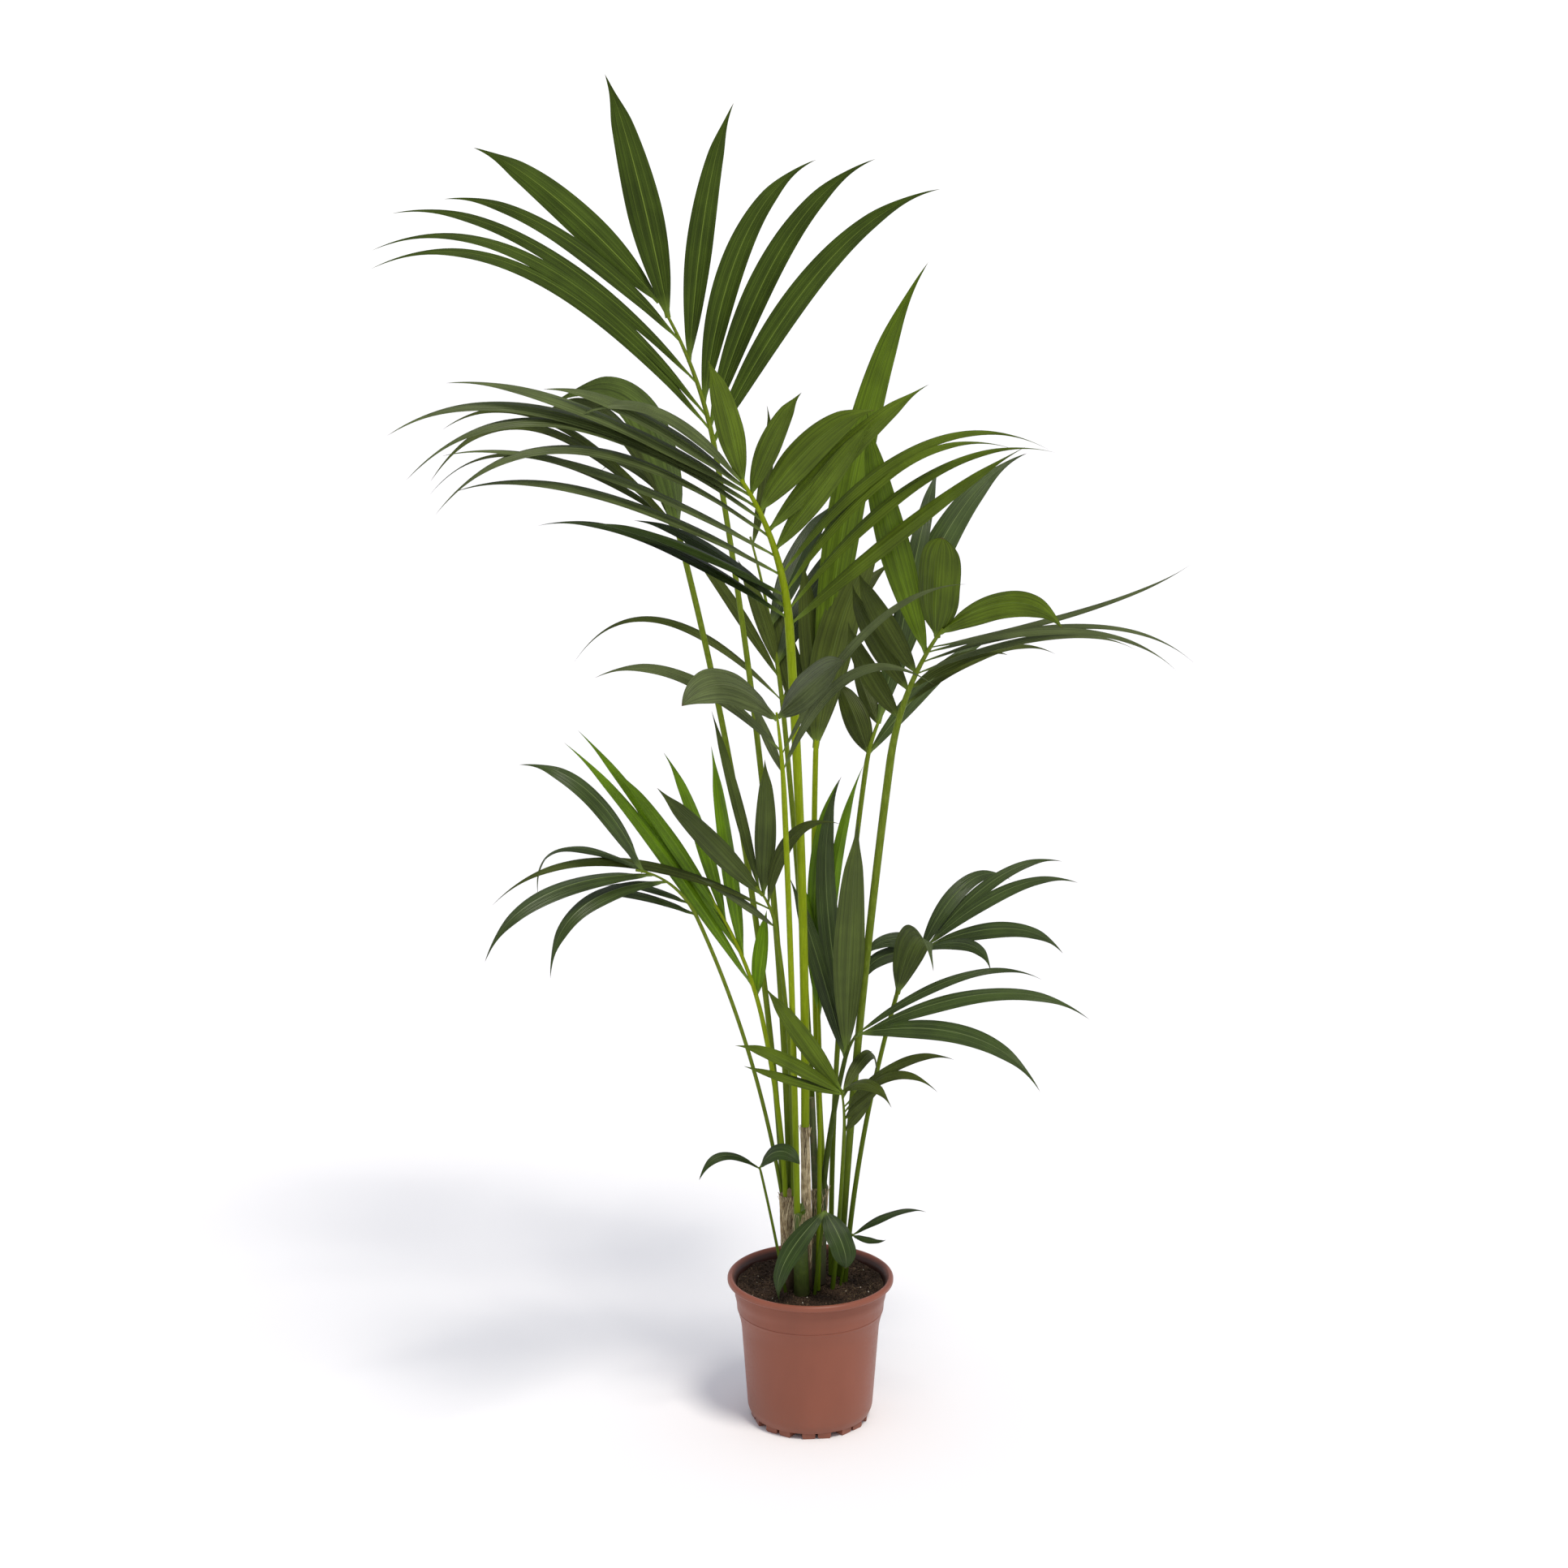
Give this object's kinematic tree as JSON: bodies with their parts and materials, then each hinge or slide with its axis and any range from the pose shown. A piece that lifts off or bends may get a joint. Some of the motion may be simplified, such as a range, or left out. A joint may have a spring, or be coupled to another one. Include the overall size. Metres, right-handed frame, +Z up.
{
  "type": "potted kentia palm",
  "caption": "Tall indoor palm with arching feather fronds on slim green stalks, rooted in dark soil in a round terracotta-coloured plastic nursery pot.",
  "frame": {"origin": "centre of the flat central pad under the pot, on the floor", "axes": "+Z up, +X to the right in the picture, +Y away from its camera"},
  "size_m": [0.9508, 0.5724, 1.6695],
  "materials": {
    "pot": "semi-matt terracotta-coloured plastic",
    "soil": "moist dark peat with crumbs and white perlite",
    "sheath": "green leaf sheath with brown fibre",
    "stalk": "smooth satin green stalk",
    "leaf": "satin dark green leaflets with pale midribs"
  },
  "bodies": {
    "root": {"pot": "pot", "soil": "soil", "stem_front": "sheath", "stem_middle": "sheath", "stem_left": "sheath", "stem_back": "sheath", "cut_stalk": "sheath", "stalk_top": "stalk", "stalk_middle": "stalk", "stalk_left_back": "stalk", "stalk_back": "stalk", "stalk_front": "stalk", "stalk_right": "stalk", "stalk_right_back": "stalk", "stalk_far": "stalk", "stalk_left_low": "stalk", "stalk_young": "stalk", "stalk_young_back": "stalk", "stalk_inner": "stalk", "stalk_right_low": "stalk", "stalk_right_mid": "stalk", "stalk_front_right": "stalk", "stalk_low_left": "stalk", "stalk_low_front": "stalk", "stalk_low_right": "stalk", "frond_top": "leaf", "frond_middle": "leaf", "frond_left_back": "leaf", "frond_back": "leaf", "frond_front": "leaf", "frond_right": "leaf", "frond_right_back": "leaf", "frond_far": "leaf", "frond_left_low": "leaf", "frond_young": "leaf", "frond_young_back": "leaf", "frond_inner": "leaf", "frond_right_low": "leaf", "frond_right_mid": "leaf", "frond_front_right": "leaf", "frond_low_left": "leaf", "frond_low_front": "leaf", "frond_low_right": "leaf"}
  },
  "joints": []
}
